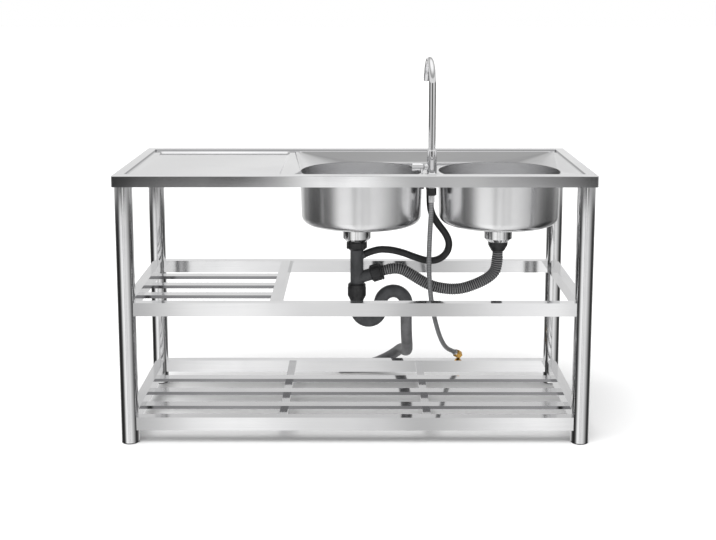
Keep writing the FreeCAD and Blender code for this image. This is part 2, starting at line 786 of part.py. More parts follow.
outlet = V(outlet_x, y, trap_outlet_z)
hose_seat = outlet + V(0, 0, trap_socket_depth)
socket = rod(trap_socket_radius, outlet, V(outlet_x, y, arch_centre_z - arch_tail / 3))
socket = socket.cut(rod(drain_hose_radius, outlet + down, hose_seat))
trap = swept(trap_path, pipe_radius, start, down).fuse(socket)
trap = trap.cut(swept(trap_path, bore, start, down))
trap = trap.cut(rod(drain_hose_bore, outlet, V(outlet_x, y, arch_centre_z - arch_tail)))
save("s_trap", trap)

# ---- the right waste: a cone nut on the cup's outlet, and the corrugated hose across to the tee ----
cone_at = V(drain_xs["right"], y, 0)
cone_top = cup_bottom
cone_low = cone_top - cone_nut_band - cone_nut_cone
cone_grip = outlet_end
cone_nut = turned([
    (outlet_radius, cone_top), (cone_nut_radius, cone_top),
    (cone_nut_radius - cone_nut_taper, cone_top - cone_nut_band),
    (cone_nut_neck, cone_low), (cross_hose_root, cone_low), (cross_hose_root, cone_grip),
    (outlet_radius, cone_grip)], cone_at)
save("cone_nut", cone_nut)


# The corrugated hose hangs in one plane: straight out of the branch nut, down, round a sag and up
# into the cone nut. The straight drop and the rising bend are as long as the two ends ask for.
hose_start = branch_root + branch_out * (branch_nut_start + branch_nut_length - cross_hose_grip)
hose_end = cone_at + V(0, 0, cone_low + cross_hose_grip)
span = hose_end - hose_start


def bend_reach(radius, first, last):
    """How far an arc reaches along X and Z, from one heading to another, in degrees."""
    a = math.radians(first)
    b = math.radians(last)
    side = 1 if last > first else -1
    return V(side * radius * (math.sin(b) - math.sin(a)), 0, side * radius * (math.cos(a) - math.cos(b)))


def heading(angle):
    return V(math.cos(math.radians(angle)), 0, math.sin(math.radians(angle)))


known = (branch_out * cross_hose_straight
         + bend_reach(cross_hose_first_bend, branch_angle, cross_hose_dip)
         + bend_reach(cross_hose_sag, cross_hose_dip, 0)
         + bend_reach(cross_hose_last_bend, cross_hose_rise, 90)
         + V(0, 0, cross_hose_straight))
left_over = span - known
drop = heading(cross_hose_dip)
rise = bend_reach(1.0, 0, cross_hose_rise)
scale = drop.x * rise.z - rise.x * drop.z
drop_length = (left_over.x * rise.z - rise.x * left_over.z) / scale
rise_radius = (drop.x * left_over.z - left_over.x * drop.z) / scale
stretches = [(cross_hose_straight, branch_angle, branch_angle),
             (cross_hose_first_bend, branch_angle, cross_hose_dip),
             (drop_length, cross_hose_dip, cross_hose_dip),
             (cross_hose_sag, cross_hose_dip, 0),
             (rise_radius, 0, cross_hose_rise),
             (cross_hose_last_bend, cross_hose_rise, 90),
             (cross_hose_straight, 90, 90)]


def stretch_length(size, first, last):
    return size if first == last else size * abs(math.radians(last - first))


def along_hose(distance):
    """The point and heading of the corrugated hose's middle line, this far from its start."""
    point = V(hose_start)
    for size, first, last in stretches:
        length = stretch_length(size, first, last)
        if distance <= length or (size, first, last) == stretches[-1]:
            if first == last:
                return point + heading(first) * distance, first
            here = first + (last - first) * distance / length
            return point + bend_reach(size, first, here), here
        point = point + (heading(first) * size if first == last else bend_reach(size, first, last))
        distance -= length


def hose_ring(radius, distance):
    """A circle square to the hose, whose seam always faces the back."""
    point, angle = along_hose(distance)
    circle = Part.Circle(point, heading(angle), radius)
    circle.XAxis = V(0, 1, 0)
    return Part.Wire(circle.toShape())


hose_length = sum(stretch_length(*stretch) for stretch in stretches)
rib_run = hose_length - 2 * cross_hose_plain_end
rib_count = int(rib_run / cross_hose_rib_pitch)
pitch = rib_run / rib_count
rings = [hose_ring(cross_hose_root, 0)]
for i in range(rib_count):
    middle = cross_hose_plain_end + (i + 0.5) * pitch
    crest = rib_crest / 2 * pitch
    foot = (rib_crest / 2 + rib_flank) * pitch
    rings.append(hose_ring(cross_hose_root, middle - foot))
    rings.append(hose_ring(cross_hose_radius, middle - crest))
    rings.append(hose_ring(cross_hose_radius, middle + crest))
    rings.append(hose_ring(cross_hose_root, middle + foot))
rings.append(hose_ring(cross_hose_root, hose_length))
ribbed = Part.makeLoft(rings, True, True)
bores = [hose_ring(cross_hose_bore, hose_length * i / bore_spans) for i in range(bore_spans + 1)]
cross_hose = ribbed.cut(Part.makeLoft(bores, True, True))
print("cross hose: length %.0f, %d ribs, rise radius %.0f, straight drop %.0f, volume %.0f" % (
    hose_length, rib_count, rise_radius, drop_length, cross_hose.Volume))
save("cross_hose", cross_hose)

# ---- the overflow: a cover inside the left bowl, an elbow outside it and a hose to the tee ----
port_z = land - overflow_port_drop
port_x = bowl_xs["left"] + bowl_radius
port = V(port_x, y, port_z)
inner_port = port - V(overflow_cover_depth, 0, 0)
outer_port = port + V(sheet + overflow_pad, 0, 0)
elbow_x = port_x + sheet + overflow_elbow_reach
corner = V(elbow_x, y, port_z)
save("bowl_left", made["bowl_left"].cut(rod(overflow_port_radius, inner_port, outer_port)))
cover = rod(overflow_flange_radius, inner_port, outer_port).common(bowl_form(left_bowl_x, 0.0))
cover = cover.cut(bowl_form(left_bowl_x, -3 * overflow_cover))
for i in range(overflow_slots):
    middle = port_z + (i - (overflow_slots - 1) / 2) * overflow_slot_pitch
    cover = cover.cut(block(inner_port.x, outer_port.x,
                            y - overflow_slot_length / 2, y + overflow_slot_length / 2,
                            middle - overflow_slot_width / 2, middle + overflow_slot_width / 2))
save("overflow_cover", cover)
elbow = rod(overflow_flange_radius, inner_port, outer_port)
elbow = elbow.fuse([
    rod(overflow_port_radius, inner_port, corner),
    Part.makeSphere(overflow_port_radius, corner),
    rod(overflow_port_radius, corner, corner - V(0, 0, overflow_neck)),
    rod(overflow_hose_bore - hose_fit, corner, corner - V(0, 0, overflow_elbow_drop)),
])
elbow = elbow.cut(bowl_form(left_bowl_x, sheet))
elbow = elbow.cut(rod(channel, inner_port, corner))
elbow = elbow.cut(rod(channel, corner, corner - V(0, 0, overflow_elbow_drop + 1)))
save("overflow_elbow", elbow)

tap = V(bowls_centre_x, tap_y, land)
overflow_route = [
    corner - V(0, 0, overflow_neck),
    corner - V(0, 0, overflow_neck + 35),
    tap + V(3, 69, -132),
    tap + V(25, 61, -166),
    tap + V(48, 60, -194),
    tap + V(62, 62, -226),
    tap + V(55, 68, -259),
    tap + V(31, 74, -282),
    tap + V(-3, 76, -288),
    tap + V(-43, 76, -276),
    tap + V(-83, 76, -260),
    tap + V(-125, 76, -250),
    spigot_base + spigot_out * 38,
    spigot_base,
]
save("overflow_hose", hose("overflow hose", overflow_route, overflow_hose_radius, overflow_hose_bore))

# ---- the drain hose: out of the trap, over the back rail and down to lie on the floor behind ----
drain_route = [
    hose_seat,
    V(outlet_x, y, 300),
    V(outlet_x + 2, 0, 250),
    V(outlet_x + 6, 42, 206),
    V(outlet_x + 9, 97, 172),
    V(outlet_x + 8, 158, 147),
    V(outlet_x + 4, 220, 130),
    V(outlet_x - 4, 281, 118),
    V(outlet_x - 18, 330, 90),
    V(outlet_x - 50, 362, 58),
    V(outlet_x - 98, 376, 32),
    V(outlet_x - 156, 378, 20),
    V(outlet_x - 214, 380, 21),
]
save("drain_hose", hose("drain hose", drain_route, drain_hose_radius, drain_hose_bore))
cuff_out = (drain_route[-1] - drain_route[-2]).normalize()
cuff_end = drain_route[-1] + cuff_out * hose_cuff_overhang
cuff_start = cuff_end - cuff_out * hose_cuff_length
cuff = rod(hose_cuff_radius, cuff_start, cuff_end)
cuff = cuff.cut(rod(drain_hose_radius, cuff_start - cuff_out, drain_route[-1]))
cuff = cuff.cut(rod(drain_hose_bore, cuff_start - cuff_out, cuff_end + cuff_out))
save("drain_hose_cuff", cuff)

# ---- the tap: body, side handle, swivel spout, and the parts that clamp it and feed it ----
up = V(0, 0, 1)
body = turned([
    (0, -shank_length), (shank_radius, -shank_length), (shank_radius, 0), (tap_base_radius, 0),
    (tap_base_radius, tap_base_height - tap_edge), (tap_base_radius - tap_edge, tap_base_height),
    (tap_body_radius + tap_edge, tap_base_height), (tap_body_radius, tap_base_height + tap_edge),
    (tap_body_radius, tap_body_height - tap_edge), (tap_body_radius - tap_edge, tap_body_height),
    (0, tap_body_height)], tap)
handle_axis = tap + V(0, 0, handle_axis_height)
left = V(-1, 0, 0)
boss_end = tap_body_radius + boss_length
body = body.fuse(rod(boss_radius, handle_axis, handle_axis + left * boss_end))
body = body.cut(rod(tap_bore, tap - up * (shank_length + 1), tap + up * (tap_body_height + 1)))
body = body.cut(rod(swivel_radius + swivel_clearance, tap + up * (tap_body_height - swivel_depth),
                    tap + up * (tap_body_height + 1)))
body = body.cut(rod(cartridge_radius, handle_axis + left * tap_bore, handle_axis + left * (boss_end + 1)))
save("tap_body", body)
collar_end = handle_axis + left * (boss_end + cartridge_collar)
stem_end = handle_axis + left * (boss_end + cartridge_stem_length)
cartridge = rod(cartridge_radius, handle_axis + left * (tap_bore + cartridge_gap), collar_end)
port_end = handle_axis + left * (tap_bore + cartridge_port_depth)
cartridge = cartridge.cut(rod(cartridge_port, handle_axis, port_end))
cartridge = cartridge.fuse(rod(cartridge_stem, handle_axis + left * boss_end, stem_end))
save("tap_cartridge", cartridge)

handle_from = collar_end + left * handle_clearance
socket = cartridge_stem + swivel_clearance
socket_depth = (stem_end - handle_from).Length + handle_clearance
handle = turned([
    (socket, 0), (handle_radius - handle_edge, 0), (handle_radius, handle_edge),
    (handle_radius, handle_length - handle_edge), (handle_radius - handle_edge, handle_length),
    (0, handle_length), (0, socket_depth), (socket, socket_depth)], handle_from, left)
droop = math.radians(lever_droop)
lever_out = V(0, -math.cos(droop), -math.sin(droop))
lever_at = handle_from + left * (lever_radius + lever_inset)
lever_end = lever_at + lever_out * lever_length
lever = rod(lever_radius, lever_at + lever_out * (handle_radius - lever_inset), lever_end)
lever = lever.fuse(Part.makeSphere(lever_radius + lever_ball, lever_end))
save("tap_handle", handle.fuse(lever))

arch_z = land + spout_rise - riser_radius - spout_arch_radius
turn = math.radians(spout_turn)
spout_out = V(-math.sin(turn), math.cos(turn), 0)
arch_middle = V(tap.x, tap.y, arch_z) + spout_out * spout_arch_radius


def on_arch(angle):
    a = math.radians(angle)
    return arch_middle + (up * math.sin(a) - spout_out * math.cos(a)) * spout_arch_radius


arch = Part.Arc(on_arch(0), on_arch(spout_arch_angle / 2), on_arch(spout_arch_angle))
arch_line = Part.Wire(arch.toShape())
end_angle = math.radians(spout_arch_angle)
end_out = spout_out * math.sin(end_angle) + up * math.cos(end_angle)


def tapered(start_radius, end_radius):
    first = Part.Wire(Part.makeCircle(start_radius, on_arch(0), up))
    last = Part.Wire(Part.makeCircle(end_radius, on_arch(spout_arch_angle), end_out))
    return arch_line.makePipeShell([first, last], True, False)


foot_of_spout = tap + up * tap_body_height
spout = rod(riser_radius, foot_of_spout, on_arch(0))
spout = spout.fuse([tapered(riser_radius, spout_tip_radius),
                    ring(riser_radius + spout_ring_step, swivel_radius, foot_of_spout, spout_ring_height),
                    rod(swivel_radius, foot_of_spout - up * swivel_depth, foot_of_spout)])
spout = spout.cut(tapered(riser_radius - riser_wall, spout_tip_radius - riser_wall))
spout = spout.cut(rod(riser_radius - riser_wall, foot_of_spout, on_arch(0)))
spout = spout.cut(rod(tap_bore, foot_of_spout - up * (swivel_depth + 1), foot_of_spout + up))
save("tap_spout", spout)
spout_end = on_arch(spout_arch_angle)
band_radius = aerator_radius - aerator_band_step
mouth_radius = band_radius - aerator_edge - aerator_wall
throat = spout_tip_radius - riser_wall - aerator_edge
mesh_low = aerator_length - aerator_mesh_depth
mesh_top = mesh_low - aerator_mesh_height
aerator = turned([
    (throat, 0), (spout_tip_radius, 0), (aerator_radius, aerator_edge),
    (aerator_radius, aerator_length - aerator_band - aerator_edge),
    (band_radius, aerator_length - aerator_band),
    (band_radius, aerator_length - aerator_edge), (band_radius - aerator_edge, aerator_length),
    (mouth_radius, aerator_length), (mouth_radius, mesh_low), (aerator_mesh_bore, mesh_low),
    (aerator_mesh_bore, mesh_top), (throat, mesh_top)], spout_end, end_out)
save("aerator", aerator)

under_deck = tap - up * sheet
save("tap_washer", ring(washer_radius, shank_radius, under_deck - up * washer_height, washer_height))
nut_top = under_deck - up * washer_height
lock_nut = hexagon(lock_nut_flats, nut_top, -up, lock_nut_height)
save("tap_lock_nut", lock_nut.cut(rod(shank_radius, nut_top + up, nut_top - up * (lock_nut_height + 1))))
shank_end = tap - up * shank_length
hose_nut = hexagon(hose_nut_flats, shank_end + up * hose_nut_grip, -up, hose_nut_height)
hose_nut = hose_nut.cut(rod(shank_radius, shank_end, shank_end + up * (hose_nut_grip + 1)))
hose_nut_low = shank_end + up * (hose_nut_grip - hose_nut_height)
hose_nut = hose_nut.cut(rod(supply_hose_bore, hose_nut_low - up, shank_end + up))
save("supply_top_nut", hose_nut)
ferrule = ring(ferrule_radius, supply_hose_radius, hose_nut_low - up * ferrule_length, ferrule_length)
save("supply_top_ferrule", ferrule)
supply_start = hose_nut_low

# the hose's free end leans its nut on the bottom back rail's far edge, so that a pipe can reach its mouth
rail_top = bottom_rail_bottom + rail_height
end_nut_x = bowls_centre_x + end_nut_offset
end_tilt = math.radians(end_nut_tilt)
end_heading = math.radians(end_nut_heading)
nut_out = V(math.cos(end_heading) * math.cos(end_tilt), math.sin(end_heading) * math.cos(end_tilt),
            -math.sin(end_tilt))
nut_foot_z = rail_top + end_nut_flats / 2 * math.cos(end_tilt)
nut_foot = V(end_nut_x, leg_y + half_rail + end_nut_overhang, nut_foot_z)
supply_end = nut_foot - nut_out * end_nut_length
supply_route = [
    supply_start,
    supply_start - V(0, 0, 45),
    tap + V(-3, 3, -168),
    tap + V(-5, 8, -230),
    tap + V(-5, 17, -294),
    tap + V(-1, 30, -354),
    tap + V(6, 52, -412),
    tap + V(16, 90, -464),
    tap + V(27, 136, -510),
    tap + V(38, 184, -551),
    tap + V(50, 232, -589),
    tap + V(64, 276, -623),
    tap + V(79, 322, -650),
    supply_end - nut_out * 24,
    supply_end,
]
save("supply_hose", hose("supply hose", supply_route, supply_hose_radius, supply_hose_bore))
ferrule_start = supply_end - nut_out * end_ferrule_length
end_ferrule = rod(ferrule_radius, ferrule_start, supply_end)
end_ferrule = end_ferrule.cut(rod(supply_hose_radius, ferrule_start - nut_out, supply_end + nut_out))
save("supply_end_ferrule", end_ferrule)
end_nut = hexagon(end_nut_flats, supply_end, nut_out, end_nut_length)
end_nut = end_nut.cut(rod(supply_hose_bore, supply_end - nut_out, supply_end + nut_out * end_nut_length))
end_nut = end_nut.cut(rod(shank_radius, supply_end + nut_out * end_nut_lip,
                          supply_end + nut_out * (end_nut_length + 1)))
save("supply_end_nut", end_nut)
print(len(made), "nodes")
for name, shape in made.items():
    if not shape.isValid() or shape.Volume <= 0:
        print("not sound:", name, shape.Volume)
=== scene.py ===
import math

import bpy
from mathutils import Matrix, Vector


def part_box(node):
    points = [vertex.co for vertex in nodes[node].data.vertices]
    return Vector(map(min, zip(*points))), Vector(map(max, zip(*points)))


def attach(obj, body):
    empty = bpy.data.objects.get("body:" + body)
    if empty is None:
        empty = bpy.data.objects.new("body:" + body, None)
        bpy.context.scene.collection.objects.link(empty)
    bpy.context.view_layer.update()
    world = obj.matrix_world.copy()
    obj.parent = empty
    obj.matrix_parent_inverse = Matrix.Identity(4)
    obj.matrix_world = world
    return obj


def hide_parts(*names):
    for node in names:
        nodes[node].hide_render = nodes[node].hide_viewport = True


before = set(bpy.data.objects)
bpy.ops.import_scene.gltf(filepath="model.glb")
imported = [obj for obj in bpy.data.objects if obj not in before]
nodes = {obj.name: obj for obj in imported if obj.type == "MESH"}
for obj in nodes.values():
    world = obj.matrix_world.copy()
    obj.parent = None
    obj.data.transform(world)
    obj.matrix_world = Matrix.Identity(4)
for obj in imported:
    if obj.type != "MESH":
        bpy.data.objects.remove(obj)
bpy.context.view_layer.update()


# ---- Studio ------------------------------------------------------------------------------------
# A pale floor that runs out of the picture, soft overhead light and a surround of pale and dark
# screens, which the polished steel needs around it to look like steel.
class Signal:
    """One socket of a shader, so that shader maths reads as Python."""

    def __init__(self, tree, socket=None):
        self.tree = tree
        self.socket = socket

    def node(self, kind, settings, inputs, outlet=0):
        """Adds a node: its settings first, a ramp's stops among them, then its sockets' values or links."""
        made = self.tree.nodes.new(kind)
        for name, value in settings.items():
            if name == "stops":
                ramp = made.color_ramp
                while len(ramp.elements) > 1:
                    ramp.elements.remove(ramp.elements[-1])
                for i, (place, tone) in enumerate(value):
                    stop = ramp.elements[0] if i == 0 else ramp.elements.new(place)
                    stop.position = place
                    stop.color = (tone, tone, tone, 1)
            else:
                setattr(made, name, value)
        for name, value in inputs.items():
            if isinstance(value, Signal):
                self.tree.links.new(value.socket, made.inputs[name])
            else:
                made.inputs[name].default_value = value
        return Signal(self.tree, made.outputs[outlet])

    def maths(self, operation, *values):
        return self.node("ShaderNodeMath", {"operation": operation}, dict(enumerate(values)))

    def __add__(self, other):
        return self.maths("ADD", self, other)

    __radd__ = __add__

    def __sub__(self, other):
        return self.maths("SUBTRACT", self, other)

    def __rsub__(self, other):
        return self.maths("SUBTRACT", other, self)

    def __mul__(self, other):
        return self.maths("MULTIPLY", self, other)

    __rmul__ = __mul__

    def __truediv__(self, other):
        return self.maths("DIVIDE", self, other)

    def __rtruediv__(self, other):
        return self.maths("DIVIDE", other, self)

    def between(self, low, high):
        """0 at low, 1 at high, smooth in between."""
        return self.node("ShaderNodeMapRange", {"interpolation_type": "SMOOTHSTEP"},
                         {"Value": self, "From Min": low, "From Max": high})

    def blend(self, first, second):
        """The first colour where this is 0 and the second where it is 1."""
        one, two = [c if isinstance(c, Signal) else (*c, 1) for c in (first, second)]
        return self.node("ShaderNodeMix", {"data_type": "RGBA"}, {"Factor": self, 6: one, 7: two}, outlet=2)

    def parts(self):
        """The X, Y and Z of a vector."""
        split = self.node("ShaderNodeSeparateXYZ", {}, {"Vector": self})
        made = split.socket.node
        return [Signal(self.tree, made.outputs[i]) for i in range(3)]


def shader(name):
    """A new material, its Principled shader and a signal to build on."""
    material = bpy.data.materials.new(name)
    material.use_nodes = True
    surface = material.node_tree.nodes["Principled BSDF"]
    return material, surface, Signal(material.node_tree)


def link(signal, socket):
    signal.tree.links.new(signal.socket, socket)


floor_reach = 40.0
floor_tone = 0.93
floor_mesh = bpy.data.meshes.new("studio_floor")
floor_mesh.from_pydata([(-floor_reach, -floor_reach, 0), (floor_reach, -floor_reach, 0),
                        (floor_reach, floor_reach, 0), (-floor_reach, floor_reach, 0)], [], [(0, 1, 2, 3)])
studio_floor = bpy.data.objects.new("studio_floor", floor_mesh)
bpy.context.scene.collection.objects.link(studio_floor)
floor_paper, floor_surface = shader("floor_paper")[:2]
floor_surface.inputs["Base Color"].default_value = (floor_tone, floor_tone, floor_tone, 1)
floor_surface.inputs["Roughness"].default_value = 0.9
floor_mesh.materials.append(floor_paper)
studio_floor.visible_glossy = False

world = bpy.data.worlds.new("studio_surround")
bpy.context.scene.world = world
world.use_nodes = True
surround = Signal(world.node_tree)
sight = surround.node("ShaderNodeTexCoord", {}, {}, outlet="Generated")
to_right, to_back, to_top = sight.parts()
bearing = surround.maths("ARCTAN2", to_right, to_back * -1) / (2 * math.pi) + 0.5
steel_shine = 0.84


def screen(brightness):
    """The light that a screen sends out, so that steel mirrors it with this brightness in the picture."""
    return ((brightness + 0.055) / 1.055) ** 2.4 / steel_shine


def row_of_screens(screens):
    """Upright screens all round. Each stands at a bearing in degrees, 0 in front and plus to the right."""
    stops = [(turn / 360 + 0.5, screen(brightness)) for turn, brightness in screens]
    return surround.node("ShaderNodeValToRGB", {"stops": stops}, {"Fac": bearing})


# upright faces mirror what stands below the camera's height: a low row for the frame and bowls, a
# narrow middle row for the top's apron, and an upper row for the tap; flat faces mirror the ceiling
low_row = row_of_screens([
    (-150, 0.80), (-135, 0.40), (-108, 0.15), (-78, 0.15), (-60, 0.40), (-42, 0.90), (-18, 0.95),
    (-12, 0.60), (-8, 0.95), (-5, 0.95), (-3, 0.85), (1, 0.85), (3, 0.65), (8, 0.95), (10, 0.95),
    (12, 0.70), (18, 0.90), (35, 0.80), (60, 0.60), (80, 0.30), (95, 0.15), (115, 0.20), (130, 0.50),
    (142, 0.30), (158, 0.80)])
apron_row = row_of_screens([
    (-180, 0.85), (-110, 0.60), (-60, 0.40), (-20, 0.15), (-12, 0.05), (-10, 0.35), (-5, 0.35),
    (-2, 1.00), (0.5, 1.00), (2, 0.65), (5, 0.75), (8, 0.60), (10, 0.30), (12, 0.20), (40, 0.60),
    (110, 0.60), (180, 0.85)])
upper_row = row_of_screens([
    (-180, 0.50), (-120, 0.35), (-80, 0.45), (-50, 0.80), (-30, 0.80), (-18, 0.35), (-8, 0.20),
    (5, 0.25), (15, 0.60), (35, 0.85), (70, 0.70), (95, 0.40), (130, 0.35), (180, 0.50)])
heights = [(0.30, 0.85), (0.42, 0.60), (0.60, 0.65), (0.85, 0.95), (1.0, 1.00)]
ceiling = surround.node("ShaderNodeValToRGB", {"stops": [(h, screen(tone)) for h, tone in heights]},
                        {"Fac": to_top})
ripple_depth = 0.06
ripple = surround.maths("SINE", to_right * 30 + to_top * 110) * ripple_depth + 0.98
ceiling = surround.node("ShaderNodeVectorMath", {"operation": "SCALE"}, {0: ceiling, "Scale": ripple})

# where each row gives way to the next one up, with level as 0 and straight up as 1
low_row_ends = (-0.182, -0.170)
apron_row_ends = (-0.148, -0.136)
upper_row_ends = (-0.01, 0.03)
mirrored = to_top.between(*low_row_ends).blend(low_row, apron_row)
mirrored = to_top.between(*apron_row_ends).blend(mirrored, upper_row)
mirrored = to_top.between(*upper_row_ends).blend(mirrored, ceiling)
in_view = surround.node("ShaderNodeLightPath", {}, {}, outlet="Is Camera Ray")
link(in_view.blend(mirrored, (1, 1, 1)), world.node_tree.nodes["Background"].inputs["Color"])

sun_data = bpy.data.lights.new("overhead_light", "SUN")
sun_data.energy = 2.2
sun_data.angle = math.radians(50)
overhead_light = bpy.data.objects.new("overhead_light", sun_data)
overhead_light.visible_glossy = False
overhead_light.rotation_euler = (math.radians(18), math.radians(-14), 0)
bpy.context.scene.collection.objects.link(overhead_light)
bpy.context.scene.view_settings.view_transform = "Standard"

# the lens, place and tilt that put the unit's corners where the photograph has them
camera_data = bpy.data.cameras.new("camera")
camera = bpy.data.objects.new("camera", camera_data)
bpy.context.scene.collection.objects.link(camera)
picture_width = 716
focal_pixels = 1165.4
camera_data.sensor_width = 36.0
camera_data.lens = camera_data.sensor_width * focal_pixels / picture_width
camera_data.shift_y = -0.14
camera_data.clip_end = 200
camera.location = (0.0175, -3.5987, 1.3313)
camera.rotation_euler = (math.radians(90 - 8.685), 0, math.radians(0.143))
bpy.context.scene.camera = camera


# ---- Pressed top -------------------------------------------------------------------------------
# One sheet of satin stainless, pressed with a stepped rim, a recessed drainboard and two bowl
# openings, and folded down into an apron. Folded channels under the drainboard stiffen it, and a
# welded plate in each corner takes a leg.
def rounded(names):
    """Shades a rolled or pressed face as smooth, and leaves its edges sharp."""
    sharp_edge = math.radians(35)
    for name in names:
        mesh = nodes[name].data
        for layer in [a for a in mesh.attributes if a.name == "custom_normal"]:
            mesh.attributes.remove(layer)
        mesh.shade_smooth()
        mesh.set_sharp_from_angle(angle=sharp_edge)


def dressed(names, material):
    """Gives parts this material alone."""
    for name in names:
        mesh = nodes[name].data
        mesh.materials.clear()
        mesh.materials.append(material)


def steel(name, tone, roughness, grain, scratch=0.00001, shadow=None):
    """Ground metal, with smudges. grain is how fine its lines are across X, Y and Z, per metre, and
    scratch is their depth. shadow is 1 where a dark reflection is painted into the metal's colour."""
    smudged = 0.95
    scratched = 0.85
    shaded = 0.32

    def darker(share):
        return (tone * share, tone * share, tone * (share + 0.01))

    material, surface, maths = shader(name)
    place = maths.node("ShaderNodeTexCoord", {}, {}, outlet="Object")
    stretched = maths.node("ShaderNodeMapping", {}, {"Vector": place, "Scale": grain})
    lines = maths.node("ShaderNodeTexNoise", {},
                       {"Vector": stretched, "Scale": 1, "Detail": 5, "Roughness": 0.7})
    smudge = maths.node("ShaderNodeTexNoise", {}, {"Vector": place, "Scale": 7, "Detail": 3})
    patch = smudge.between(0.35, 0.75)
    streaked = lines.between(0.3, 0.7)
    clean = patch.blend((tone, tone, tone * 1.005), darker(smudged))
    tinted = (streaked * 0.25).blend(clean, darker(scratched))
    if shadow:
        tinted = shadow(place).blend(tinted, darker(shaded))
    link(tinted, surface.inputs["Base Color"])
    surface.inputs["Metallic"].default_value = 1.0
    link(patch * 0.03 + lines * 0.03 + (roughness - 0.02), surface.inputs["Roughness"])
    bump = maths.node("ShaderNodeBump", {}, {"Strength": 0.3, "Distance": scratch, "Height": lines})
    link(bump, surface.inputs["Normal"])
    return material


half_length, half_depth, rim_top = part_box("deck")[1]
rim_width = 0.020
step_fade = 0.002
step_starts = (0.0003, 0.0012)
step_ends = (0.0058, 0.0048)


def step_shadow(place):
    """1 on the narrow step inside the rim, where a dark reflection is painted into the colour, darker than
    the flats beside it.
    """
    across, deep, upward = place.parts()
    under_rim = upward.between(rim_top - step_starts[0], rim_top - step_starts[1])
    over_field = upward.between(rim_top - step_ends[0], rim_top - step_ends[1])
    step_x = half_length - rim_width
    step_y = half_depth - rim_width
    inside_x = across.maths("ABSOLUTE", across).between(step_x + step_fade, step_x)
    inside_y = deep.maths("ABSOLUTE", deep).between(step_y + step_fade, step_y)
    return under_rim * over_field * inside_x * inside_y


rounded(nodes)
# the top's steel gets a painted dark reflection along the rim's step
sheet_steel = steel("sheet_steel", steel_shine, 0.07, (6, 420, 420), shadow=step_shadow)
underside_steel = steel("underside_steel", 0.74, 0.24, (6, 420, 420))
dressed(["deck"], sheet_steel)
dressed(["drainboard_channels", "corner_plates"], underside_steel)

# ---- Bowls -------------------------------------------------------------------------------------
# Two deep-drawn stainless bowls, ground in rings and welded under the top, with a pressed cover
# over the overflow ports between them.
# the bowls' tone is set paler than the top's steel as painted light, to brighten their dim insides
spun_steel = steel("spun_steel", 0.93, 0.22, (5, 5, 700))
dressed(["bowl_left", "bowl_right", "overflow_cover"], spun_steel)


# ---- Legs and feet -----------------------------------------------------------------------------
# Four stainless tubes, ground along their length. A moulded plastic spigot and a zinc-plated bolt
# hold each one's upper end in its corner plate, and a black plastic foot is pushed into the lower.
def moulded(name, colour, roughness):
    """Moulded plastic or rubber: a fine pebbled skin, with duller and paler patches."""
    pebble_depth = 0.0003
    wear = 0.35
    material, surface, maths = shader(name)
    place = maths.node("ShaderNodeTexCoord", {}, {}, outlet="Object")
    pebble = maths.node("ShaderNodeTexNoise", {}, {"Vector": place, "Scale": 900, "Detail": 3})
    cloud = maths.node("ShaderNodeTexNoise", {}, {"Vector": place, "Scale": 35, "Detail": 4})
    patch = cloud.between(0.35, 0.7)
    pale = tuple(min(1, c * (1 + wear) + 0.01) for c in colour)
    link(patch.blend(colour, pale), surface.inputs["Base Color"])
    link(patch * 0.12 + roughness, surface.inputs["Roughness"])
    bump = maths.node("ShaderNodeBump", {}, {"Strength": 0.5, "Distance": pebble_depth, "Height": pebble})
    link(bump, surface.inputs["Normal"])
    return material


upright_steel = steel("upright_steel", steel_shine, 0.08, (420, 420, 4))
bright_zinc = steel("bright_zinc", 0.66, 0.22, (90, 90, 90))
black_plastic = moulded("black_plastic", (0.014, 0.014, 0.015), 0.38)
dressed([n for n in nodes if n.startswith("leg_")], upright_steel)
dressed(["leg_bolts"], bright_zinc)
dressed(["feet", "leg_spigots"], black_plastic)

# ---- Rails -------------------------------------------------------------------------------------
# Rectangular stainless tube, welded between the legs at two heights, with a cross rail where the
# middle shelf ends and two flat braces under the bottom one. Each is ground along its length.
long_steel = steel("long_steel", steel_shine, 0.08, (4, 420, 420))
deep_steel = steel("deep_steel", 0.80, 0.14, (420, 4, 420))
dressed([n for n in nodes if "rail_front" in n or "rail_back" in n], long_steel)
dressed([n for n in nodes if "rail_left" in n or "rail_right" in n], deep_steel)
dressed(["middle_cross_rail", "bottom_braces"], deep_steel)


# ---- Slats -------------------------------------------------------------------------------------
# Flat stainless tubes along the unit: three short ones make the middle shelf, and three long ones
# the bottom shelf. They are welded to the rails at their ends.
def painted_slat_side_reflection(place):
    """1 on the slats' rolled sides, where a dark reflection of the gap beside them is painted into the
    colour.
    """
    facing = place.node("ShaderNodeNewGeometry", {}, {}, outlet="Normal").parts()[1]
    return facing.maths("ABSOLUTE", facing).between(0.5, 0.9)


slat_steel = steel("slat_steel", steel_shine, 0.10, (4, 420, 420), shadow=painted_slat_side_reflection)
dressed([n for n in nodes if "slat" in n], slat_steel)

# ---- Strainer wastes ---------------------------------------------------------------------------
# Polished stainless cups with lift-out baskets, one in each bowl. A rubber gasket and a moulded
# lock ring hold each cup from below.
polished = steel("polished_steel", 0.86, 0.07, (60, 60, 300))
dressed([n for n in nodes if n.startswith("strainer_")], polished)
dressed(["waste_lock_rings", "waste_gaskets"], black_plastic)

# ---- Tee and trap ------------------------------------------------------------------------------
# Dark grey moulded waste pipe: a tee under the left bowl and the S trap below it, joined by black
# hand nuts. A cone nut takes the right bowl's waste, and an elbow the overflow's.
grey_plastic = moulded("grey_pipe_plastic", (0.050, 0.052, 0.055), 0.38)
dressed(["waste_tee", "s_trap"], grey_plastic)
dressed(["wing_nut", "branch_nut", "trap_nut", "cone_nut", "overflow_elbow", "outlet_washer_left"],
        black_plastic)

